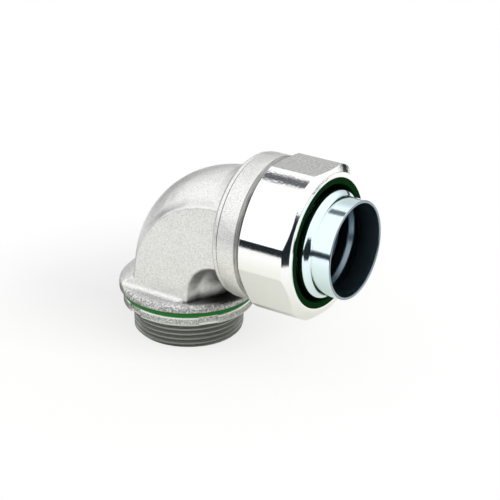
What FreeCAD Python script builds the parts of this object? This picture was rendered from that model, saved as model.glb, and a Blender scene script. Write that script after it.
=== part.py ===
import FreeCAD, Part
import os
from math import atan2, cos, radians, sin, sqrt, tan
from FreeCAD import Vector, Placement, Rotation

# Right-angle liquidtight connector for 1 1/2 inch flexible metal conduit.
# Z runs up the hub from its lower end, and X runs out along the gland.

# Hub: the threaded end that goes through the wall of a box
hub_thread_diameter = 48.26
hub_thread_pitch = 25.4 / 11.5
hub_thread_taper = 1 / 16
hub_length = 19.1
hub_lead_in = 1.3
hub_first_groove = 2.3
hub_wall = 4.63
wireway_edge_break = 0.4

# The hub's thread is cut as vee grooves between flat crests
thread_depth = 1.3
thread_flank_angle = 30.0

# Flange that bears on the sealing washer
flange_width = 5.67
flange_height = 3.5
flange_rounding = 2.5
flange_edge_break = 0.4

# Neck: a cone that carries the flange into the outside of the bend
neck_cone_height = 6.6
neck_root_rounding = 3.0
neck_above_cone = 4.0

# Elbow: a round cored bend with a flat cheek on each side
elbow_wall = 3.5
bend_radius = 29.0
straight_above_flange = 3.9
straight_before_lip = 3.4
cheek_inset = 0.7
cheek_outer_reach = 12.6
cheek_inner_reach = 14.2
cheek_rim_rounding = 1.6
cheek_root_run = 2.2
cheek_foot_rounding = 2.5

# Growth of the elbow towards the collar
flare_length = 9.0
flare_foot_inset = 0.6
flare_middle_growth = 1.6
flare_middle_setback = 3.0
flare_rounding = 4.0
flare_lip_inset = 2.5

# Spigot for the gland nut, a plain cylinder at the crests of its thread
spigot_wall = 7.5
spigot_length = 12.6
spigot_edge_break = 0.5

# Collar between the elbow and the gland nut, with its back lip and groove
collar_height = 3.7
collar_width = 7.7
collar_edge_break = 0.5
collar_bevel = 2.3
collar_bevel_depth = 2.1
lip_inset = 0.5
lip_width = 2.4
lip_edge_break = 1.0
groove_width = 0.6
groove_depth = 1.0

# Gland nut: six flats on a round blank
nut_gap = 0.5
nut_wall = 5.4
nut_flat_depth = 1.7
nut_first_flat_angle = -2.5
nut_front_bevel = 2.1
nut_front_land = 2.0
nut_front_edge_break = 0.6
nut_back_bevel = 0.9
nut_back_bevel_depth = 1.8
nut_lead_in = 1.4
nut_recess_depth = 1.3
nut_mouth_lip = 1.65
nut_mouth_depth = 1.9
nut_mouth_edge_break = 0.5

# Sealing ring squeezed between the ferrule and the nut
ring_length = 7.4
ring_wall = 3.6
ring_mouth_wall = 1.8
ring_mouth_edge_break = 0.4
ring_taper_depth = 4.0

# Ferrule: a rolled tube that goes inside the conduit
conduit_wall = 3.95
ferrule_wall = 1.2
ferrule_length = 23.5
ferrule_edge_break = 0.3
ferrule_flange_inset = 0.5
bead_start = 8.4
bead_length = 6.0
bead_height = 1.95
bead_slope = 1.9

# Sealing washer and locknut on the hub
gasket_width = 4.02
gasket_thickness = 2.4
locknut_width = 3.67
locknut_thickness = 4.4
locknut_bevel = 0.8
notch_count = 5
notch_width = 8.2
notch_depth = 1.7
notch_first_angle = -37.5

# Clearances between pieces that turn, slide or lie on one another
thread_clearance = 0.3
seal_clearance = 0.3
washer_clearance = 0.35
seat_gap = 0.1

# Edges eased by less than this are cut as straight bevels
smallest_rounding = 1.3

# How far a joined or cut shape runs past the face that it meets
overrun = 1.0

# Radii and places that several sub-parts share
hub_radius = hub_thread_diameter / 2
wireway_radius = hub_radius - hub_wall
elbow_radius = wireway_radius + elbow_wall
spigot_radius = wireway_radius + spigot_wall
collar_radius = spigot_radius + collar_height
lip_radius = collar_radius - lip_inset
flange_radius = hub_radius + flange_width
cheek_side = elbow_radius - cheek_inset
foot_side = cheek_side + cheek_foot_rounding
flange_top = hub_length + flange_height
bend_centre = Vector(bend_radius, 0, flange_top + straight_above_flange)
gland_axis_height = bend_centre.z + bend_radius
lip_start = bend_radius + straight_before_lip
collar_start = lip_start + lip_width + groove_width
collar_end = collar_start + collar_width
collar_front = collar_end + collar_bevel
spigot_end = collar_front + spigot_length
ferrule_flange_front = spigot_end + ferrule_wall
ring_back = ferrule_flange_front + seal_clearance
ring_front = ring_back + ring_length
ring_radius = spigot_radius + nut_recess_depth - seal_clearance
ring_bore_radius = ring_radius - ring_wall
nut_back = collar_front + nut_gap
nut_front = ring_front + seat_gap + nut_mouth_depth
gasket_bottom = hub_length - gasket_thickness
locknut_top = gasket_bottom - seat_gap


def eased_corner(before, here, after, rounding):
    """Edges that ease the corner at here, with the points where they start and end."""
    if not rounding:
        return [], here, here
    back = (before - here).normalize()
    ahead = (after - here).normalize()
    half_angle = back.getAngle(ahead) / 2
    if rounding < smallest_rounding:
        start = here + back * rounding
        end = here + ahead * rounding
        return [Part.LineSegment(start, end).toShape()], start, end
    setback = rounding / tan(half_angle)
    start = here + back * setback
    end = here + ahead * setback
    inward = (back + ahead).normalize()
    middle = here + inward * (rounding / sin(half_angle) - rounding)
    return [Part.Arc(start, middle, end).toShape()], start, end


def rounded_outline(corners):
    """Closed face in the XZ plane from (x, z, rounding) corners."""
    count = len(corners)
    points = [Vector(x, 0, z) for x, z, _ in corners]
    eased = [eased_corner(points[i - 1], points[i], points[(i + 1) % count], corners[i][2])
             for i in range(count)]
    edges = []
    for i in range(count):
        corner_edges, _, end = eased[i]
        edges += corner_edges
        next_start = eased[(i + 1) % count][1]
        if end.distanceToPoint(next_start) > 1e-6:
            edges.append(Part.LineSegment(end, next_start).toShape())
    return Part.Face(Part.Wire(edges))


def turned(corners):
    """Solid of revolution about Z from (radius, height, rounding) corners."""
    return rounded_outline(corners).revolve(Vector(0, 0, 0), Vector(0, 0, 1), 360)


def on_gland_axis(shape):
    """Lay a shape that was made along Z onto the gland axis, pointing along X."""
    placed = shape.copy()
    placed.Placement = Placement(Vector(0, 0, gland_axis_height), Rotation(Vector(0, 1, 0), 90))
    return placed


def hub_thread_radius(height):
    """Crest radius of the tapered hub thread, full size at the flange."""
    return hub_radius - (hub_length - height) * hub_thread_taper / 2


def hub_thread_corners():
    """Corners of a row of vee grooves between crests, climbing from the hub's lower end."""
    half_width = thread_depth * tan(radians(thread_flank_angle))
    corners = []
    groove = hub_first_groove
    crest = hub_thread_radius(hub_lead_in)
    while groove < gasket_bottom - half_width:
        corners.append((crest, groove - half_width, 0))
        corners.append((crest - thread_depth, groove, 0))
        crest = hub_thread_radius(groove + hub_thread_pitch / 2)
        corners.append((crest, groove + half_width, 0))
        groove += hub_thread_pitch
    return corners


def swept_round_bend(section):
    """Run a section in the plane z = bend centre down the hub, round the bend and along the gland."""
    down = Vector(0, 0, flange_top - bend_centre.z)
    along = Vector(lip_start + overrun - bend_centre.x, 0, 0)
    bend = section.revolve(bend_centre, Vector(0, 1, 0), 90)
    end = section.copy()
    end.rotate(bend_centre, Vector(0, 1, 0), 90)
    return section.extrude(down).fuse([bend, end.extrude(along)])


def cheek_shoulder(reach, outward, side):
    """Edges from the round of the elbow over a cheek's rim to its flat, in the bend's section.

    The outward sign is -1 on the outside of the bend, which faces -X there, and side is the sign of Y.
    """
    root = reach + cheek_root_run
    root_side = sqrt(elbow_radius ** 2 - root ** 2)
    on_round = Vector(outward * root, side * root_side, bend_centre.z)
    rim = Vector(outward * reach, side * cheek_side, bend_centre.z)
    on_flat = Vector(0, side * cheek_side, bend_centre.z)
    rim_edges, slope_end, flat_end = eased_corner(on_round, rim, on_flat, cheek_rim_rounding)
    slope = Part.LineSegment(on_round, slope_end).toShape()
    return [slope] + rim_edges, on_round, flat_end


def elbow_section():
    """Section of the elbow across the hub axis: a round with two flat cheeks that stand out."""
    outer_pole = Vector(-elbow_radius, 0, bend_centre.z)
    inner_pole = Vector(elbow_radius, 0, bend_centre.z)
    edges = []
    round_ends = {}
    for side in (1, -1):
        outer_edges, outer_round, outer_flat = cheek_shoulder(cheek_outer_reach, -1, side)
        inner_edges, inner_round, inner_flat = cheek_shoulder(cheek_inner_reach, 1, side)
        edges += outer_edges + inner_edges
        edges.append(Part.LineSegment(outer_flat, inner_flat).toShape())
        round_ends[side] = (outer_round, inner_round)
    edges.append(Part.Arc(round_ends[1][0], outer_pole, round_ends[-1][0]).toShape())
    edges.append(Part.Arc(round_ends[1][1], inner_pole, round_ends[-1][1]).toShape())
    return Part.Face(Part.Wire(Part.__sortEdges__(edges)))


def hub_and_flange():
    """Threaded hub under a flange with a rounded edge."""
    tip = hub_thread_radius(hub_lead_in)
    corners = [(0, 0, 0), (tip - hub_lead_in, 0, 0), (tip, hub_lead_in, 0)]
    corners += hub_thread_corners()
    corners += [(corners[-1][0], hub_length, 0), (flange_radius, hub_length, flange_edge_break),
                (flange_radius, flange_top, flange_rounding), (0, flange_top, 0)]
    return turned(corners)


def between_cheeks(top):
    """Outline across the neck: as wide as the cheeks, with a rounded foot that runs out over the flange."""
    right = [(flange_radius, hub_length, 0), (flange_radius, flange_top - flange_radius + foot_side, 0),
             (foot_side, flange_top, 0), (cheek_side, flange_top, cheek_foot_rounding), (cheek_side, top, 0)]
    left = [(-y, z, rounding) for y, z, rounding in reversed(right)]
    outline = rounded_outline(right + left)
    outline.rotate(Vector(0, 0, 0), Vector(0, 0, 1), 90)
    return outline


def plan_inside_bend():
    """Outline from above of the neck's inner half, with its corners cut where the cheeks end."""
    end = cheek_inner_reach - cheek_rim_rounding
    right = [(0, -foot_side), (end - cheek_foot_rounding, -foot_side), (end, -cheek_side)]
    left = [(x, -y) for x, y in reversed(right)]
    return Part.Face(Part.makePolygon([Vector(x, y, 0) for x, y in right + left + right[:1]]))


def neck():
    """Cone between the flange and the outside of the bend, cut flat in line with the cheeks."""
    cone_top = flange_top + neck_cone_height
    neck_top = cone_top + neck_above_cone
    bend_outside = bend_radius + elbow_radius
    neck_top_radius = sqrt(bend_outside ** 2 - (neck_top - bend_centre.z) ** 2) - bend_radius
    cone = turned([(0, hub_length + overrun, 0), (flange_radius, hub_length + overrun, 0),
                   (flange_radius, flange_top, flange_rounding), (elbow_radius, cone_top, neck_root_rounding),
                   (neck_top_radius, neck_top, 0), (0, neck_top, 0)])
    slab = between_cheeks(neck_top)
    outer_half = slab.extrude(Vector(-flange_radius, 0, 0))
    inner_half = slab.extrude(Vector(flange_radius, 0, 0)).common(
        plan_inside_bend().extrude(Vector(0, 0, neck_top)))
    return cone.common(outer_half.fuse(inner_half))


def flare():
    """Growth of the elbow towards the collar, about the gland axis, cut flat in line with the cheeks."""
    start = lip_start - flare_length
    end = lip_start + overrun
    middle = lip_start - flare_middle_setback
    wide = lip_radius - flare_lip_inset
    growth = on_gland_axis(turned([(0, start, 0), (elbow_radius - flare_foot_inset, start, 0),
                                   (elbow_radius + flare_middle_growth, middle, flare_rounding),
                                   (wide, end, 0), (0, end, 0)]))
    return growth.common(Part.makeBox(end - start, 2 * cheek_side, 2 * wide,
                                      Vector(start, -cheek_side, gland_axis_height - wide)))


def collar_and_spigot():
    """Lip, groove, collar and spigot, turned about the gland axis."""
    lip_end = lip_start + lip_width
    groove_floor = collar_radius - groove_depth
    back = lip_start - lip_width / 2
    back_radius = lip_radius - 2 * flare_lip_inset
    lip = [(back_radius, back, 0), (lip_radius, lip_start, lip_edge_break), (lip_radius, lip_end, 0)]
    groove = [(groove_floor, lip_end, 0), (groove_floor, collar_start, 0), (collar_radius, collar_start, 0)]
    collar = [(collar_radius, collar_end, collar_edge_break),
              (collar_radius - collar_bevel_depth, collar_front, 0)]
    spigot = [(spigot_radius, collar_front, 0), (spigot_radius, spigot_end, spigot_edge_break)]
    return on_gland_axis(turned([(0, back, 0)] + lip + groove + collar + spigot + [(0, spigot_end, 0)]))


def wireway():
    """Space for the wires, from the hub's lower end round the bend to the spigot's end."""
    low = Vector(0, 0, -overrun)
    lower = Part.makeCylinder(wireway_radius, bend_centre.z + overrun, low)
    upper = Part.makeCylinder(wireway_radius, spigot_end - bend_centre.x + overrun,
                              Vector(bend_centre.x, 0, gland_axis_height), Vector(1, 0, 0))
    reach = wireway_edge_break + overrun
    mouth = Part.makeCone(wireway_radius + reach, wireway_radius, reach, low)
    ring = Part.makeCircle(wireway_radius, Vector(0, 0, bend_centre.z), Vector(0, 0, 1))
    bend = Part.Face(Part.Wire(ring)).revolve(bend_centre, Vector(0, 1, 0), 90)
    return bend.fuse([lower, upper, mouth])


def body():
    """One malleable iron casting, from the threaded hub to the threaded spigot."""
    elbow = swept_round_bend(elbow_section())
    casting = hub_and_flange().fuse([neck(), elbow, flare(), collar_and_spigot()])
    return casting.cut(wireway()).removeSplitter()


def nut_corner(index):
    """Corner of the nut's hexagon, with the first flat near the top."""
    angle = radians(180 + nut_first_flat_angle + 30 + 60 * index)
    reach = (spigot_radius + nut_wall - nut_flat_depth) / cos(radians(30))
    return Vector(reach * cos(angle), reach * sin(angle), nut_back - overrun)


def gland_nut():
    """Nut with six flats, a bevelled front, a threaded back and a recess for the sealing ring."""
    outer = spigot_radius + nut_wall
    thread = spigot_radius + thread_clearance
    recess = ring_radius + seal_clearance
    mouth = recess - nut_mouth_lip
    mouth_back = nut_front - nut_mouth_depth
    blank = turned([(0, nut_back, 0), (outer - nut_back_bevel_depth, nut_back, 0),
                    (outer, nut_back + nut_back_bevel, 0), (outer, nut_front - nut_front_bevel, 0),
                    (mouth + nut_front_land, nut_front, nut_front_edge_break), (0, nut_front, 0)])
    hexagon = Part.Face(Part.makePolygon([nut_corner(i) for i in range(7)]))
    prism = hexagon.extrude(Vector(0, 0, nut_front - nut_back + 2 * overrun))
    inside = turned([(0, nut_back - overrun, 0), (thread + nut_lead_in + overrun, nut_back - overrun, 0),
                     (thread, nut_back + nut_lead_in, 0), (thread, spigot_end, 0), (recess, spigot_end, 0),
                     (recess, mouth_back, 0), (mouth, mouth_back, 0),
                     (mouth, nut_front - nut_mouth_edge_break, 0),
                     (mouth + nut_mouth_edge_break + overrun, nut_front + overrun, 0),
                     (0, nut_front + overrun, 0)])
    return on_gland_axis(blank.common(prism).cut(inside))


def sealing_ring():
    """Sealing ring with a tapered mouth that guides the conduit in."""
    mouth = ring_radius - ring_mouth_wall
    throat = ring_front - ring_taper_depth
    return on_gland_axis(turned([(ring_bore_radius, ring_back, 0), (ring_radius, ring_back, 0),
                                 (ring_radius, ring_front, 0), (mouth, ring_front, ring_mouth_edge_break),
                                 (ring_bore_radius, throat, 0)]))


def ferrule():
    """Rolled tube with a flange at its seat, one bead and an eased rim."""
    outer = ring_bore_radius - conduit_wall
    inner = outer - ferrule_wall
    crest = outer + bead_height
    crest_inside = crest - ferrule_wall
    flange = spigot_radius - ferrule_flange_inset
    rim = spigot_end + ferrule_length
    bead_back = spigot_end + bead_start
    bead_front = bead_back + bead_length
    crest_back = bead_back + bead_slope
    crest_front = bead_front - bead_slope
    shift = ferrule_wall * tan(atan2(bead_height, bead_slope) / 2)
    outside = [(flange, spigot_end, 0), (flange, ferrule_flange_front, 0), (outer, ferrule_flange_front, 0),
               (outer, bead_back, 0), (crest, crest_back, 0), (crest, crest_front, 0),
               (outer, bead_front, 0), (outer, rim, ferrule_edge_break)]
    inside = [(inner, rim, ferrule_edge_break), (inner, bead_front - shift, 0),
              (crest_inside, crest_front - shift, 0), (crest_inside, crest_back + shift, 0),
              (inner, bead_back + shift, 0), (inner, spigot_end, 0)]
    return on_gland_axis(turned(outside + inside))


def gasket():
    """Flat sealing washer under the flange."""
    bore = hub_radius + washer_clearance
    outer = bore + gasket_width
    top = hub_length - seat_gap
    return turned([(bore, gasket_bottom, 0), (outer, gasket_bottom, 0), (outer, top, 0), (bore, top, 0)])


def locknut():
    """Locknut with a notched rim, driven round with a screwdriver and a hammer."""
    bore = hub_radius + thread_clearance
    outer = bore + locknut_width
    bottom = locknut_top - locknut_thickness
    bevel = locknut_bevel
    ring = turned([(bore, bottom + bevel, 0), (bore + bevel, bottom, 0), (outer - bevel, bottom, 0),
                   (outer, bottom + bevel, 0), (outer, locknut_top - bevel / 2, 0),
                   (outer - bevel / 2, locknut_top, 0), (bore + bevel, locknut_top, 0),
                   (bore, locknut_top - bevel, 0)])
    notches = []
    for i in range(notch_count):
        notch = Part.makeBox(notch_depth + overrun, notch_width, locknut_thickness + 2 * overrun,
                             Vector(outer - notch_depth, -notch_width / 2, bottom - overrun))
        notch.rotate(Vector(0, 0, 0), Vector(0, 0, 1), notch_first_angle + 360 / notch_count * i)
        notches.append(notch)
    return ring.cut(notches)


parts = {
    "body": body(),
    "gland_nut": gland_nut(),
    "sealing_ring": sealing_ring(),
    "ferrule": ferrule(),
    "gasket": gasket(),
    "locknut": locknut(),
}

os.makedirs("parts", exist_ok=True)
for name, shape in parts.items():
    shape.exportStep("parts/" + name + ".step")
    print(name, len(shape.Solids), "solid", round(shape.Volume), "mm3", shape.isValid())
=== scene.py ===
import math

import bmesh
import bpy
from mathutils import Matrix, Vector


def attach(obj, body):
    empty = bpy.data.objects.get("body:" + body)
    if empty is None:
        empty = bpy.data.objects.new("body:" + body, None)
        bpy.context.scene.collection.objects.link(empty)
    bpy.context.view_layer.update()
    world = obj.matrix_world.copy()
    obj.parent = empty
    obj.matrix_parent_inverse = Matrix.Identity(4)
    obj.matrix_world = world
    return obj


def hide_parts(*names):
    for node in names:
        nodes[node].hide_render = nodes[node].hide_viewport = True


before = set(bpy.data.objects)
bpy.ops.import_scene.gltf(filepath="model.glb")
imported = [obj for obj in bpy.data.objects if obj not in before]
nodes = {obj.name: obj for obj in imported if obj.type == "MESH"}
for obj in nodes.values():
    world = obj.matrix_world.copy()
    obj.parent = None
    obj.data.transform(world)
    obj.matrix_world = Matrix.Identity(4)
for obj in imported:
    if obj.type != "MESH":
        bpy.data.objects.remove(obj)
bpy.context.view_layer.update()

MM = 0.001

# Camera, fitted to the circles of the connector in the photograph
PHOTO_SIDE = 500
FOCAL_PIXELS = 1685.9
CAMERA_TARGET = Vector((31.23, 0.0, 42.95)) * MM
CAMERA_DISTANCE = 700 * MM
CAMERA_AZIMUTH = math.radians(33.25)
CAMERA_ELEVATION = math.radians(24.03)
CAMERA_ROLL = math.radians(0.65)

# Sizes of the solids, in millimetres
GLAND_AXIS = 55.5
BEND_RADIUS = 29.0
BEND_START = 26.5
WIREWAY = 19.5
FLANGE_TOP = 22.6
HUB_END = 19.1
HUB_CREST = 24.13
HUB_PITCH = 25.4 / 11.5
HUB_TAPER = 1 / 32
COLLAR_BEVEL = 43.1
COLLAR_FRONT = 45.4
SPIGOT_END = 58.0
SPIGOT_CREST = 27.0
TUBE = 20.45
TUBE_BORE = 19.25
TUBE_END = 81.5
TUBE_FLANGE = 26.5
TUBE_FLANGE_FRONT = 59.2
RING_BORE = 24.4
RING = 28.0
RING_BACK = 59.5
WASHER_BORE = 24.48
WASHER = 28.5
WASHER_LOW = 16.7
WASHER_TOP = 19.0

# Sizes that only the scene has, in millimetres: the plain cores under the threads, where the gland's
# thread starts and its guessed pitch, the ring's shoulder behind its nose, and the height that the
# locknut's painted dark band and its scuffs are centred on
HUB_CORE = 22.0
SPIGOT_CORE = 25.4
RELIEF_FRONT = COLLAR_FRONT + 0.2
SPIGOT_PITCH = 2.2
RING_SHOULDER = 66.85
LOCKNUT_DARK_BAND_HEIGHT = 14.5

# Axes that the turned pieces and threads go round, the hub's up +Z and the gland's along +X
HUB = Matrix.Identity(4)
GLAND = Matrix(((0, 0, 1, 0), (0, 1, 0, 0), (-1, 0, 0, GLAND_AXIS), (0, 0, 0, 1)))

# Fineness of the turned pieces: sides round the axis, and steps in a rounded corner
ROUND = 144
ARC_STEPS = 6

# Colours, as sRGB hex
CAST_ZINC = "F4F4F3"
CAST_ZINC_LOW = "CECECD"
TRIMMED_ZINC = "8C8C8B"
TURNED_ZINC = "B9B9B7"
TURNED_ZINC_LOW = "8B8B88"
# Painted shade for the casting's grooves and joints
CREVICE_SHADE = "2A2A29"
# Painted shade for the casting's corners and pocket
CORNER_SHADE_ZINC = "444441"
# Bare iron, and painted shade, for the wireway
BARE_IRON_AND_SHADE = "2A3138"
CUT_ZINC = "A0A29F"
BRIGHT_ZINC = "F4F5F3"
GRAINED_ZINC = "B4B5B3"
FERRULE_ZINC = "E2F4F9"
# Painted shade inside the ferrule's tube
FERRULE_INSIDE_SHADE = "8C9DA7"
# Painted shade in the ring's gap round the ferrule
FERRULE_GAP_SHADE = "1C211F"
LOCKNUT_ZINC = "F2F4F2"
# Painted reflection, with scuffs, on the locknut's rim
LOCKNUT_SCUFF_AND_REFLECTION = "3C403E"
RING_GREEN = "04300C"
WASHER_GREEN = "00701F"
PAPER = "FFFFFF"
# Painted shade on the paper round the hub, and darker behind it
PAPER_SHADE = "F2F2EA"
PAPER_LEE = "5A5A59"

# Light of the tent's parts, where 1 is white paper. The parts were placed by trial, until the dark
# stripes on the nut and the ferrule fell as in the photograph, and say nothing of the room it was taken in.
TENT_LIGHT = (1.18, 1.18, 1.18, 1)
BACK_LIGHT = (0.72, 0.72, 0.72, 1)
CORNER_LIGHT = (0.3, 0.3, 0.3, 1)
SEAM_LIGHT = (0.12, 0.125, 0.145, 1)
ROOM_LIGHT = (0.012, 0.018, 0.024, 1)

# Where the tent's parts are, seen from the connector: a direction, and the cosines of the angles from
# it at which the part starts and is full
BACK = ((-0.35, 0.85, 0.1), 0.6, 0.9)
CORNER = ((-0.87, 0.49, -0.05), 0.9, 0.975)
SEAM = ((-0.5008, 0.1938, 0.8437), 0.9885, 0.9965)
FRONT = ((0.86, -0.5, 0), 0.55, 0.9)

# A Mix node's sockets when it mixes colours
FIRST, SECOND, MIXED = 6, 7, 2


def linear(code):
    """sRGB hex to linear RGBA."""
    channels = [int(code[i:i + 2], 16) / 255 for i in (0, 2, 4)]
    return [c / 12.92 if c <= 0.04045 else ((c + 0.055) / 1.055) ** 2.4 for c in channels] + [1.0]


def feed(tree, node, inputs):
    """Set a node's inputs, each from a value or from the output that feeds it."""
    for key, value in inputs.items():
        if isinstance(value, bpy.types.NodeSocket):
            tree.links.new(value, node.inputs[key])
        else:
            node.inputs[key].default_value = value


def add(tree, kind, inputs, **settings):
    """Add a node with its settings and inputs."""
    node = tree.nodes.new(kind)
    for name, value in settings.items():
        setattr(node, name, value)
    feed(tree, node, inputs)
    return node


def new_material(name):
    """A material with its node tree, its shader and the object's position in millimetres."""
    material = bpy.data.materials.new(name)
    material.use_nodes = True
    tree = material.node_tree
    where = add(tree, "ShaderNodeTexCoord", {})
    position = add(tree, "ShaderNodeVectorMath", {0: where.outputs["Object"], "Scale": 1 / MM},
                   operation="SCALE")
    return material, tree, tree.nodes["Principled BSDF"], position.outputs[0]


# Each pattern's comment gives the size that such a finish usually has, which wasn't measured here, and
# the size it is drawn at, which was settled by trial against the photograph. The size drawn is one step
# of the noise. A light and a dark spot take two steps, and a pixel of the render is 0.4 mm wide, so
# finer patterns are drawn coarser to show.


def wireway_depth(tree, position):
    """Distance from the middle line of the wireway: up the hub, round the bend, along the gland."""
    place = add(tree, "ShaderNodeSeparateXYZ", {0: position})
    across = add(tree, "ShaderNodeMath", {0: place.outputs["X"], 1: BEND_RADIUS}, operation="SUBTRACT")
    across = add(tree, "ShaderNodeMath", {0: across.outputs[0], 1: 0.0}, operation="MINIMUM")
    above = add(tree, "ShaderNodeMath", {0: place.outputs["Z"], 1: BEND_START}, operation="SUBTRACT")
    above = add(tree, "ShaderNodeMath", {0: above.outputs[0], 1: 0.0}, operation="MAXIMUM")
    turn = add(tree, "ShaderNodeCombineXYZ", {0: across.outputs[0], 1: above.outputs[0]})
    turn = add(tree, "ShaderNodeVectorMath", {0: turn.outputs[0]}, operation="LENGTH")
    off = add(tree, "ShaderNodeMath", {0: turn.outputs["Value"], 1: BEND_RADIUS}, operation="SUBTRACT")
    flat = add(tree, "ShaderNodeCombineXYZ", {0: off.outputs[0], 1: place.outputs["Y"]})
    return add(tree, "ShaderNodeVectorMath", {0: flat.outputs[0]}, operation="LENGTH").outputs["Value"]


def cast_iron():
    """Malleable iron, sand cast and zinc plated: a pale satin skin with a sandy grain.

    It is scuffed where the flange's rim was trimmed and turned on the collar's bevel. Painted shade darkens
    its corners, its groove and joints, and its wireway, which is drawn as bare iron too."""
    material, tree, shader, position = new_material("zinc plated malleable iron")
    place = add(tree, "ShaderNodeSeparateXYZ", {0: position})

    # Moulding sand leaves a grain of about 0.25 mm, drawn at 0.5 mm to show. The mould's own waves are
    # several millimetres long, drawn at 8 mm.
    sand = add(tree, "ShaderNodeTexNoise", {"Vector": position, "Scale": 1 / 0.5, "Detail": 3.0,
                                            "Roughness": 0.6})
    waves = add(tree, "ShaderNodeTexNoise", {"Vector": position, "Scale": 1 / 8.0, "Detail": 2.0})
    edge = add(tree, "ShaderNodeBevel", {"Radius": 0.5 * MM}, samples=6)
    uneven = add(tree, "ShaderNodeBump", {"Height": waves.outputs["Fac"], "Distance": 0.45 * MM,
                                          "Normal": edge.outputs[0]})
    grain = add(tree, "ShaderNodeBump", {"Height": sand.outputs["Fac"], "Distance": 0.12 * MM,
                                         "Normal": uneven.outputs[0]})
    peak = add(tree, "ShaderNodeMapRange", {0: sand.outputs["Fac"], "From Min": 0.3, "From Max": 0.62})
    skin = add(tree, "ShaderNodeMix", {"Factor": peak.outputs[0], FIRST: linear(CAST_ZINC_LOW),
                                       SECOND: linear(CAST_ZINC)}, data_type="RGBA")

    # Scuffs from trimming the flange's rim are about 0.5 mm, drawn at 0.9 mm to show.
    rim = add(tree, "ShaderNodeMapRange", {0: place.outputs["Z"], "From Min": FLANGE_TOP + 0.7,
                                           "From Max": FLANGE_TOP - 0.7})
    scuff = add(tree, "ShaderNodeTexNoise", {"Vector": position, "Scale": 1 / 0.9, "Detail": 3.0,
                                             "Roughness": 0.8})
    scuff = add(tree, "ShaderNodeMapRange", {0: scuff.outputs["Fac"], "From Min": 0.62,
                                             "From Max": 0.42})
    trimmed = add(tree, "ShaderNodeMath", {0: rim.outputs[0], 1: scuff.outputs[0]},
                  operation="MULTIPLY")
    skin = add(tree, "ShaderNodeMix", {"Factor": trimmed.outputs[0], FIRST: skin.outputs[MIXED],
                                       SECOND: linear(TRIMMED_ZINC)}, data_type="RGBA")

    # Painted shade: the skin is drawn darker in corners, found here by how little light reaches them.
    corner_shade = add(tree, "ShaderNodeAmbientOcclusion", {"Distance": 25 * MM}, samples=8)
    corner_shade = add(tree, "ShaderNodeMapRange", {0: corner_shade.outputs["AO"], "From Min": 0.6,
                                              "From Max": 0.25})
    skin = add(tree, "ShaderNodeMix", {"Factor": corner_shade.outputs[0], FIRST: skin.outputs[MIXED],
                                       SECOND: linear(CORNER_SHADE_ZINC)}, data_type="RGBA")

    # A turning tool leaves lines about 0.15 mm apart, drawn on the collar's bevel at 0.3 mm to show, and
    # broken up round it every 6 mm.
    turning = add(tree, "ShaderNodeVectorMath", {0: position, 1: (1 / 0.3, 1 / 6.0, 1 / 6.0)},
                  operation="MULTIPLY")
    turning = add(tree, "ShaderNodeTexNoise", {"Vector": turning.outputs[0], "Scale": 1.0,
                                               "Detail": 2.0})
    turning = add(tree, "ShaderNodeMapRange", {0: turning.outputs["Fac"], "From Min": 0.35,
                                               "From Max": 0.65})
    turned_skin = add(tree, "ShaderNodeMix", {"Factor": turning.outputs[0],
                                              FIRST: linear(TURNED_ZINC_LOW),
                                              SECOND: linear(TURNED_ZINC)}, data_type="RGBA")
    bevel = add(tree, "ShaderNodeMapRange", {0: place.outputs["X"], "From Min": COLLAR_BEVEL - 0.05,
                                             "From Max": COLLAR_BEVEL + 0.1})
    skin = add(tree, "ShaderNodeMix", {"Factor": bevel.outputs[0], FIRST: skin.outputs[MIXED],
                                       SECOND: turned_skin.outputs[MIXED]}, data_type="RGBA")

    # Painted shade: the lip's groove, the joints between pieces and other tight hollows are drawn dark.
    groove_shade = add(tree, "ShaderNodeAmbientOcclusion", {"Distance": 2.5 * MM}, samples=8)
    groove_shade = add(tree, "ShaderNodeMapRange", {0: groove_shade.outputs["AO"], "From Min": 0.72,
                                              "From Max": 0.4})
    skin = add(tree, "ShaderNodeMix", {"Factor": groove_shade.outputs[0], FIRST: skin.outputs[MIXED],
                                       SECOND: linear(CREVICE_SHADE)}, data_type="RGBA")

    # The wireway is drawn dark: bare iron, with painted shade for the depth of the bore.
    inside = add(tree, "ShaderNodeMapRange", {0: wireway_depth(tree, position),
                                              "From Min": WIREWAY + 0.9, "From Max": WIREWAY + 0.3})
    tone = add(tree, "ShaderNodeMix", {"Factor": inside.outputs[0], FIRST: skin.outputs[MIXED],
                                       SECOND: linear(BARE_IRON_AND_SHADE)}, data_type="RGBA")
    feed(tree, shader, {"Base Color": tone.outputs[MIXED], "Metallic": 1.0, "Roughness": 0.36,
                        "Normal": grain.outputs[0]})
    return material


def cut_thread():
    """Thread cut in the casting and zinc plated: greyer than the skin, with a torn grain."""
    material, tree, shader, position = new_material("zinc plated cut thread")
    # A die tears a grain of about 0.2 mm, drawn at 0.6 mm to show.
    torn = add(tree, "ShaderNodeTexNoise", {"Vector": position, "Scale": 1 / 0.6, "Detail": 3.0})
    rough = add(tree, "ShaderNodeBump", {"Height": torn.outputs["Fac"], "Distance": 0.05 * MM})
    feed(tree, shader, {"Base Color": linear(CUT_ZINC), "Metallic": 1.0, "Roughness": 0.38,
                        "Normal": rough.outputs[0]})
    return material


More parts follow.
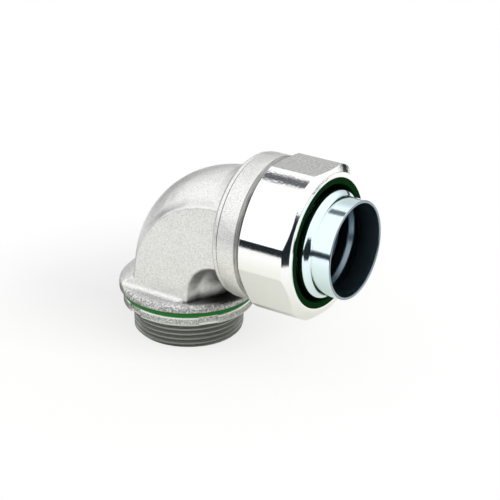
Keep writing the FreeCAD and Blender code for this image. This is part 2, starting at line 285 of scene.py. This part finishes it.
def locknut_zinc():
    """Locknut, cast, tumbled and zinc plated: bright edges round a scuffed rim with a painted dark band."""
    material, tree, shader, position = new_material("zinc plated cast locknut")
    place = add(tree, "ShaderNodeSeparateXYZ", {0: position})
    # Painted reflection: a dark band round the middle of the rim, mottled by scuffs.
    off = add(tree, "ShaderNodeMath", {0: place.outputs["Z"], 1: LOCKNUT_DARK_BAND_HEIGHT}, operation="SUBTRACT")
    off = add(tree, "ShaderNodeMath", {0: off.outputs[0]}, operation="ABSOLUTE")
    middle = add(tree, "ShaderNodeMapRange", {0: off.outputs[0], "From Min": 1.55, "From Max": 1.0})
    # Scuffs from tumbling are about 0.2 mm, drawn at 0.45 mm to show.
    scuff = add(tree, "ShaderNodeTexNoise", {"Vector": position, "Scale": 1 / 0.45, "Detail": 2.0,
                                             "Roughness": 0.7})
    scuffed_dark_band = add(tree, "ShaderNodeMapRange", {0: scuff.outputs["Fac"], "From Min": 0.68, "From Max": 0.3})
    scuffed_dark_band = add(tree, "ShaderNodeMath", {0: middle.outputs[0], 1: scuffed_dark_band.outputs[0]}, operation="MULTIPLY")
    tone = add(tree, "ShaderNodeMix", {"Factor": scuffed_dark_band.outputs[0], FIRST: linear(LOCKNUT_ZINC),
                                       SECOND: linear(LOCKNUT_SCUFF_AND_REFLECTION)}, data_type="RGBA")
    edge = add(tree, "ShaderNodeBevel", {"Radius": 0.35 * MM}, samples=6)
    skin = add(tree, "ShaderNodeBump", {"Height": scuff.outputs["Fac"], "Distance": 0.05 * MM,
                                        "Normal": edge.outputs[0]})
    feed(tree, shader, {"Base Color": tone.outputs[MIXED], "Metallic": 1.0, "Roughness": 0.3,
                        "Normal": skin.outputs[0]})
    return material


def nut_zinc():
    """Bright zinc on a machined nut: mirror faces, with the blank's grain left on its top flat."""
    material, tree, shader, position = new_material("bright zinc on a machined nut")
    place = add(tree, "ShaderNodeSeparateXYZ", {0: position})
    facing = add(tree, "ShaderNodeTexCoord", {})
    facing = add(tree, "ShaderNodeSeparateXYZ", {0: facing.outputs["Normal"]})
    top_flat = add(tree, "ShaderNodeMapRange", {0: facing.outputs["Z"], "From Min": 0.975,
                                                "From Max": 0.99})
    edge = add(tree, "ShaderNodeBevel", {"Radius": 0.35 * MM}, samples=6)

    # Machining and plating leave ripples of about 0.2 mm, drawn at 0.5 mm to show.
    ripple = add(tree, "ShaderNodeTexNoise", {"Vector": position, "Scale": 1 / 0.5, "Detail": 2.0})
    skin = add(tree, "ShaderNodeBump", {"Height": ripple.outputs["Fac"], "Distance": 0.01 * MM,
                                        "Normal": edge.outputs[0]})

    # Coarse unevenness above 74 mm, a guess that breaks up the upper dark stripe as in the photograph.
    # It is drawn at 1.1 mm.
    upper = add(tree, "ShaderNodeMapRange", {0: place.outputs["Z"], "From Min": 74.0,
                                             "From Max": 77.0})
    dapple = add(tree, "ShaderNodeTexNoise", {"Vector": position, "Scale": 1 / 1.1, "Detail": 2.0})
    dapple = add(tree, "ShaderNodeMath", {0: dapple.outputs["Fac"], 1: upper.outputs[0]},
                 operation="MULTIPLY")
    skin = add(tree, "ShaderNodeBump", {"Height": dapple.outputs[0], "Distance": 0.05 * MM,
                                        "Normal": skin.outputs[0]})

    # The blank's grain on the top flat is about 0.3 mm, drawn at 0.55 mm to show.
    grain = add(tree, "ShaderNodeTexNoise", {"Vector": position, "Scale": 1 / 0.55, "Detail": 4.0,
                                             "Roughness": 0.7})
    height = add(tree, "ShaderNodeMath", {0: grain.outputs["Fac"], 1: top_flat.outputs[0]},
                 operation="MULTIPLY")
    skin = add(tree, "ShaderNodeBump", {"Height": height.outputs[0], "Distance": 0.11 * MM,
                                        "Normal": skin.outputs[0]})
    pits = add(tree, "ShaderNodeMapRange", {0: grain.outputs["Fac"], "From Min": 0.64,
                                            "From Max": 0.36})
    pits = add(tree, "ShaderNodeMath", {0: pits.outputs[0], 1: top_flat.outputs[0]},
               operation="MULTIPLY")
    tone = add(tree, "ShaderNodeMix", {"Factor": pits.outputs[0], FIRST: linear(BRIGHT_ZINC),
                                       SECOND: linear(GRAINED_ZINC)}, data_type="RGBA")
    gloss = add(tree, "ShaderNodeMapRange", {0: top_flat.outputs[0], "To Min": 0.09, "To Max": 0.26})
    feed(tree, shader, {"Base Color": tone.outputs[MIXED], "Metallic": 1.0,
                        "Roughness": gloss.outputs[0], "Normal": skin.outputs[0]})
    return material


def ferrule_zinc():
    """Rolled steel in bright, faintly blue zinc, with painted shade inside the tube and in the ring's gap.
    """
    material, tree, shader, position = new_material("bright zinc on rolled steel")
    place = add(tree, "ShaderNodeVectorMath", {0: position, 1: (0, 0, -GLAND_AXIS)}, operation="ADD")
    flat = add(tree, "ShaderNodeVectorMath", {0: place.outputs[0], 1: (0, 1, 1)}, operation="MULTIPLY")
    radius = add(tree, "ShaderNodeVectorMath", {0: flat.outputs[0]}, operation="LENGTH")
    # Painted shade: the tube's inside is drawn darker, and it is duller too.
    inside = add(tree, "ShaderNodeMapRange", {0: radius.outputs["Value"], "From Min": TUBE - 0.03,
                                              "From Max": TUBE - 0.09})
    tone = add(tree, "ShaderNodeMix", {"Factor": inside.outputs[0], FIRST: linear(FERRULE_ZINC),
                                       SECOND: linear(FERRULE_INSIDE_SHADE)}, data_type="RGBA")
    # Painted shade: where little light reaches within 8 mm, as behind the bead in the ring's gap, the zinc
    # is drawn dark.
    gap = add(tree, "ShaderNodeAmbientOcclusion", {"Distance": 8 * MM}, samples=8)
    gap = add(tree, "ShaderNodeMapRange", {0: gap.outputs["AO"], "From Min": 0.5, "From Max": 0.3})
    tone = add(tree, "ShaderNodeMix", {"Factor": gap.outputs[0], FIRST: tone.outputs[MIXED],
                                       SECOND: linear(FERRULE_GAP_SHADE)}, data_type="RGBA")
    gloss = add(tree, "ShaderNodeMapRange", {0: inside.outputs[0], "To Min": 0.12, "To Max": 0.25})
    # Faint waves in the plating, a guess, drawn at 0.8 mm.
    rolled = add(tree, "ShaderNodeTexNoise", {"Vector": position, "Scale": 1 / 0.8, "Detail": 3.0})
    skin = add(tree, "ShaderNodeBump", {"Height": rolled.outputs["Fac"], "Distance": 0.012 * MM})
    feed(tree, shader, {"Base Color": tone.outputs[MIXED], "Metallic": 1.0,
                        "Roughness": gloss.outputs[0], "Normal": skin.outputs[0]})
    return material


def moulded_green(name, colour, roughness, sheen):
    """Moulded green plastic or rubber: an even colour with a soft, low gloss."""
    material, tree, shader, position = new_material(name)
    # The mould's texture is about 0.1 mm, drawn at 0.8 mm to show.
    texture = add(tree, "ShaderNodeTexNoise", {"Vector": position, "Scale": 1 / 0.8, "Detail": 2.0})
    skin = add(tree, "ShaderNodeBump", {"Height": texture.outputs["Fac"], "Distance": 0.02 * MM})
    feed(tree, shader, {"Base Color": linear(colour), "Roughness": roughness,
                        "Specular IOR Level": sheen, "Normal": skin.outputs[0]})
    return material


def paper():
    """Matt white paper, which the camera sees nearly evenly lit, with a faint shadow by the hub.

    The metal sees it as it is lit, with painted shade round the hub, darker in the lee behind it; the
    camera sees a little of this painted shade in the faint shadow."""
    material, tree, shader, position = new_material("white paper sweep")
    away = add(tree, "ShaderNodeVectorMath", {0: position}, operation="LENGTH")
    # Painted shade: the paper is drawn darker within 180 mm of the hub, and darker still in the lee behind
    # it.
    lee = add(tree, "ShaderNodeVectorMath", {0: position, 1: (-70, 60, 0)}, operation="DISTANCE")
    near = add(tree, "ShaderNodeMapRange", {0: lee.outputs["Value"], "From Min": 60.0,
                                            "From Max": 125.0})
    far = add(tree, "ShaderNodeMapRange", {0: away.outputs["Value"], "From Min": 80.0,
                                           "From Max": 180.0})
    white = add(tree, "ShaderNodeMix", {"Factor": near.outputs[0], FIRST: linear(PAPER_LEE),
                                        SECOND: linear(PAPER_SHADE)}, data_type="RGBA")
    white = add(tree, "ShaderNodeMix", {"Factor": far.outputs[0], FIRST: white.outputs[MIXED],
                                        SECOND: linear(PAPER)}, data_type="RGBA")
    feed(tree, shader, {"Base Color": white.outputs[MIXED], "Roughness": 1.0})

    light = add(tree, "ShaderNodeEmission", {"Strength": 1.0})
    even = add(tree, "ShaderNodeMapRange", {0: away.outputs["Value"], "From Min": 30.0,
                                            "From Max": 130.0, "To Min": 0.78, "To Max": 1.0})
    seen = add(tree, "ShaderNodeLightPath", {}).outputs["Is Camera Ray"]
    share = add(tree, "ShaderNodeMath", {0: seen, 1: even.outputs[0]}, operation="MULTIPLY")
    mix = add(tree, "ShaderNodeMixShader", {"Fac": share.outputs[0], 1: shader.outputs[0],
                                            2: light.outputs[0]})
    feed(tree, tree.nodes["Material Output"], {"Surface": mix.outputs[0]})
    return material


def towards(tree, direction, aim, start, full):
    """0 to 1 as a direction nears an aim, between the cosines at which it starts and is full."""
    along = add(tree, "ShaderNodeVectorMath", {0: direction, 1: Vector(aim).normalized()},
                operation="DOT_PRODUCT")
    return add(tree, "ShaderNodeMapRange", {0: along.outputs["Value"], "From Min": start,
                                            "From Max": full},
               interpolation_type="SMOOTHSTEP").outputs[0]


def light_tent():
    """Light tent: bright all round, greyer behind, with a seam overhead and a dark gap above the floor.

    The gap and the seam are the dark stripes that the nut and the ferrule mirror."""
    world = bpy.data.worlds.new("light tent")
    bpy.context.scene.world = world
    world.use_nodes = True
    tree = world.node_tree
    direction = add(tree, "ShaderNodeTexCoord", {}).outputs["Generated"]
    tent = add(tree, "ShaderNodeMix", {"Factor": towards(tree, direction, *BACK), FIRST: TENT_LIGHT,
                                       SECOND: BACK_LIGHT}, data_type="RGBA")
    tent = add(tree, "ShaderNodeMix", {"Factor": towards(tree, direction, *CORNER),
                                       FIRST: tent.outputs[MIXED], SECOND: CORNER_LIGHT},
               data_type="RGBA")
    tent = add(tree, "ShaderNodeMix", {"Factor": towards(tree, direction, *SEAM),
                                       FIRST: tent.outputs[MIXED], SECOND: SEAM_LIGHT},
               data_type="RGBA")

    # The dark gap reaches up to a sine of 0.03 over the horizon, and of 0.17 in front.
    hem = add(tree, "ShaderNodeMapRange", {0: towards(tree, direction, *FRONT), "To Min": 0.03,
                                           "To Max": 0.17})
    height = add(tree, "ShaderNodeSeparateXYZ", {0: direction}).outputs["Z"]
    over = add(tree, "ShaderNodeMath", {0: height, 1: hem.outputs[0]}, operation="SUBTRACT")
    lit = add(tree, "ShaderNodeMapRange", {0: over.outputs[0], "From Min": 0.0, "From Max": 0.03})
    room = add(tree, "ShaderNodeMix", {"Factor": lit.outputs[0], FIRST: ROOM_LIGHT,
                                       SECOND: tent.outputs[MIXED]}, data_type="RGBA")
    seen = add(tree, "ShaderNodeLightPath", {}).outputs["Is Camera Ray"]
    colour = add(tree, "ShaderNodeMix", {"Factor": seen, FIRST: room.outputs[MIXED],
                                         SECOND: linear(PAPER)}, data_type="RGBA")
    feed(tree, tree.nodes["Background"], {"Color": colour.outputs[MIXED]})


def camera():
    """Camera at the photograph's place, turned by its roll."""
    flat = math.cos(CAMERA_ELEVATION)
    back = Vector((math.sin(CAMERA_AZIMUTH) * flat, -math.cos(CAMERA_AZIMUTH) * flat,
                   math.sin(CAMERA_ELEVATION)))
    level = (-back).cross(Vector((0, 0, 1))).normalized()
    upright = level.cross(-back)
    right = level * math.cos(CAMERA_ROLL) + upright * math.sin(CAMERA_ROLL)
    up = upright * math.cos(CAMERA_ROLL) - level * math.sin(CAMERA_ROLL)
    data = bpy.data.cameras.new("photograph")
    data.lens = FOCAL_PIXELS / PHOTO_SIDE * data.sensor_width
    data.clip_end = 20
    item = bpy.data.objects.new("photograph", data)
    bpy.context.scene.collection.objects.link(item)
    turn = Matrix((right, up, back)).transposed().to_4x4()
    item.matrix_world = Matrix.Translation(CAMERA_TARGET + back * CAMERA_DISTANCE) @ turn
    bpy.context.scene.camera = item


def floor():
    """A paper sheet just under the hub, which ends sooner in front of the gland.

    The nut's bevel mirrors the dark past that edge."""
    under = -0.03
    corners = [(-420, -330), (200, -330), (200, -20), (900, 100), (900, 1200), (-420, 1200)]
    mesh = bpy.data.meshes.new("paper_floor")
    mesh.from_pydata([Vector((x, y, under)) * MM for x, y in corners], [], [range(len(corners))])
    mesh.materials.append(paper())
    sheet = bpy.data.objects.new("paper_floor", mesh)
    bpy.context.scene.collection.objects.link(sheet)


def piece(name, vertices, faces, axis, body, material):
    """A smooth closed piece from vertices in millimetres about an axis, riding on a body."""
    mesh = bpy.data.meshes.new(name)
    mesh.from_pydata([(axis @ Vector(v)) * MM for v in vertices], [], faces)
    tidy = bmesh.new()
    tidy.from_mesh(mesh)
    bmesh.ops.remove_doubles(tidy, verts=tidy.verts, dist=0.0005 * MM)
    bmesh.ops.recalc_face_normals(tidy, faces=tidy.faces)
    tidy.to_mesh(mesh)
    tidy.free()
    mesh.shade_smooth()
    mesh.set_sharp_from_angle(angle=math.radians(35))
    mesh.materials.append(material)
    item = bpy.data.objects.new(name, mesh)
    bpy.context.scene.collection.objects.link(item)
    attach(item, body)
    return item


def rounded(corners):
    """Points round a closed outline from (radius, height, rounding) corners."""
    points = []
    for i, (x, y, rounding) in enumerate(corners):
        here = Vector((x, y))
        back = (Vector(corners[i - 1][:2]) - here).normalized()
        ahead = (Vector(corners[(i + 1) % len(corners)][:2]) - here).normalized()
        if not rounding:
            points.append(here)
            continue
        half = back.angle(ahead) / 2
        centre = here + (back + ahead).normalized() * rounding / math.sin(half)
        start = here + back * rounding / math.tan(half) - centre
        end = here + ahead * rounding / math.tan(half) - centre
        sweep = start.angle(end)
        for k in range(ARC_STEPS + 1):
            share = k / ARC_STEPS
            points.append(centre + (start * math.sin(sweep * (1 - share))
                                    + end * math.sin(sweep * share)) / math.sin(sweep))
    return points


def turned(name, corners, axis, body, material):
    """A closed turned piece from its section's corners."""
    outline = rounded(corners)
    count = len(outline)
    vertices = []
    faces = []
    for i in range(ROUND):
        angle = math.tau * i / ROUND
        vertices += [(r * math.cos(angle), r * math.sin(angle), z) for r, z in outline]
        here, there = i * count, (i + 1) % ROUND * count
        faces += [(here + j, there + j, there + (j + 1) % count, here + (j + 1) % count)
                  for j in range(count)]
    item = piece(name, vertices, faces, axis, body, material)
    item.modifiers.new("flats", "WEIGHTED_NORMAL").keep_sharp = True
    return item


def thread(name, axis, pitch, depth, core, start, end, crest, taper, lead_in, material):
    """A right-hand vee thread as a closed sleeve on a core, its crests growing by the taper."""
    rows_per_turn = 12
    ramp = rows_per_turn // 3
    rows = int((end - start) / pitch * rows_per_turn) + 3 * rows_per_turn
    vertices = []
    faces = []
    for i in range(ROUND):
        angle = math.tau * i / ROUND
        for j in range(rows + 1):
            z = min(max(start + pitch * (j / rows_per_turn + i / ROUND - 1), start), end)
            phase = ((z - start) / pitch - i / ROUND) % 1 * rows_per_turn
            fall = min(max((phase - ramp) / ramp, 0), (rows_per_turn - phase) / ramp, 1)
            radius = crest - (end - z) * taper - depth * fall
            radius = min(radius, crest - (end - start) * taper - lead_in + z - start)
            vertices.append((radius * math.cos(angle), radius * math.sin(angle), z))
        vertices += [(core * math.cos(angle), core * math.sin(angle), z) for z in (end, start)]
    column = rows + 3
    for i in range(ROUND):
        here = i * column
        there = (i + 1) % ROUND * column
        # The last column joins the first one pitch further along.
        shift = rows_per_turn if i == ROUND - 1 else 0
        for j in range(rows - shift):
            faces.append((here + j, there + j + shift, there + j + shift + 1, here + j + 1))
        faces.append((here + rows, there + rows, there + rows + 1, here + rows + 1))
        faces.append((here + rows + 1, there + rows + 1, there + rows + 2, here + rows + 2))
        faces.append((here + rows + 2, there + rows + 2, there, here))
    piece(name, vertices, faces, axis, "fitting", material)


def casting():
    """The body's own shape, with its two threads turned down to plain cores for the helical threads."""
    shape = bmesh.new()
    shape.from_mesh(nodes["body"].data)
    bmesh.ops.remove_doubles(shape, verts=shape.verts, dist=0.0005 * MM)
    bmesh.ops.bisect_plane(shape, geom=shape.verts[:] + shape.edges[:] + shape.faces[:], dist=1e-8,
                           plane_co=(RELIEF_FRONT * MM, 0, 0), plane_no=(1, 0, 0))
    for vertex in shape.verts:
        x, y, z = vertex.co / MM
        from_hub = math.hypot(x, y)
        from_gland = math.hypot(y, z - GLAND_AXIS)
        if z < HUB_END - 0.05 and from_hub > HUB_CORE:
            share = HUB_CORE / from_hub
            vertex.co = Vector((x * share, y * share, z)) * MM
        elif x > RELIEF_FRONT - 0.01 and from_gland > SPIGOT_CORE:
            share = SPIGOT_CORE / from_gland
            vertex.co = Vector((x, y * share, GLAND_AXIS + (z - GLAND_AXIS) * share)) * MM
    mesh = bpy.data.meshes.new("body_casting")
    shape.to_mesh(mesh)
    shape.free()
    mesh.shade_smooth()
    mesh.set_sharp_from_angle(angle=math.radians(28))
    mesh.materials.append(cast_iron())
    item = bpy.data.objects.new("body_casting", mesh)
    bpy.context.scene.collection.objects.link(item)
    item.modifiers.new("flats", "WEIGHTED_NORMAL").keep_sharp = True
    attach(item, "fitting")
    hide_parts("body")


cut = cut_thread()
casting()
thread("hub_thread", HUB, pitch=HUB_PITCH, depth=1.3, core=HUB_CORE, start=0.0, end=HUB_END,
       crest=HUB_CREST, taper=HUB_TAPER, lead_in=1.3, material=cut)
thread("gland_thread", GLAND, pitch=SPIGOT_PITCH, depth=1.25, core=SPIGOT_CORE, start=RELIEF_FRONT,
       end=SPIGOT_END, crest=SPIGOT_CREST, taper=0.0, lead_in=0.9, material=cut)

ferrule = turned("ferrule_tube", [
    # flange on the spigot's end
    (TUBE_FLANGE, SPIGOT_END, 0.2), (TUBE_FLANGE, TUBE_FLANGE_FRONT, 0.4),
    (TUBE, TUBE_FLANGE_FRONT, 0.6),
    # bead that holds the conduit
    (TUBE, 66.4, 1.4), (22.4, 68.2, 1.3), (22.4, 70.6, 1.3), (TUBE, 72.4, 1.4),
    # open end
    (TUBE, TUBE_END, 0.45), (TUBE_BORE, TUBE_END, 0.45),
    # the bead's hollow side, and a fine groove behind it
    (TUBE_BORE, 72.2, 2.2), (20.3, 70.0, 1.6), (20.3, 69.0, 1.6), (TUBE_BORE, 66.8, 2.2),
    (TUBE_BORE, 63.6, 0.9), (19.65, 62.5, 0.8), (TUBE_BORE, 61.4, 0.9),
    (TUBE_BORE, SPIGOT_END, 0.5)],
    GLAND, "fitting", ferrule_zinc())
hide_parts("ferrule")

seal = turned("sealing_ring_moulding", [
    (RING_BORE, RING_BACK, 0.5), (RING, RING_BACK, 0.5), (RING, RING_SHOULDER, 0.3),
    # nose that comes out through the nut's mouth
    (26.55, RING_SHOULDER, 0.2), (26.55, 68.45, 0), (27.0, 68.92, 0), (27.0, 69.2, 0.15),
    (RING_BORE, 68.8, 0.5)],
    GLAND, "seal", moulded_green("dark green thermoplastic", RING_GREEN, 0.85, 0.03))
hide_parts("sealing_ring")

washer = turned("sealing_washer", [
    (WASHER_BORE, WASHER_LOW, 0.3), (WASHER, WASHER_LOW, 0.7), (WASHER, WASHER_TOP, 0.7),
    (WASHER_BORE, WASHER_TOP, 0.3)],
    HUB, "washer", moulded_green("green sealing washer", WASHER_GREEN, 0.45, 0.3))
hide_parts("gasket")

nodes["gland_nut"].data.materials[0] = nut_zinc()
nodes["locknut"].data.materials[0] = locknut_zinc()

light_tent()
floor()
camera()
bpy.context.scene.view_settings.view_transform = "Standard"
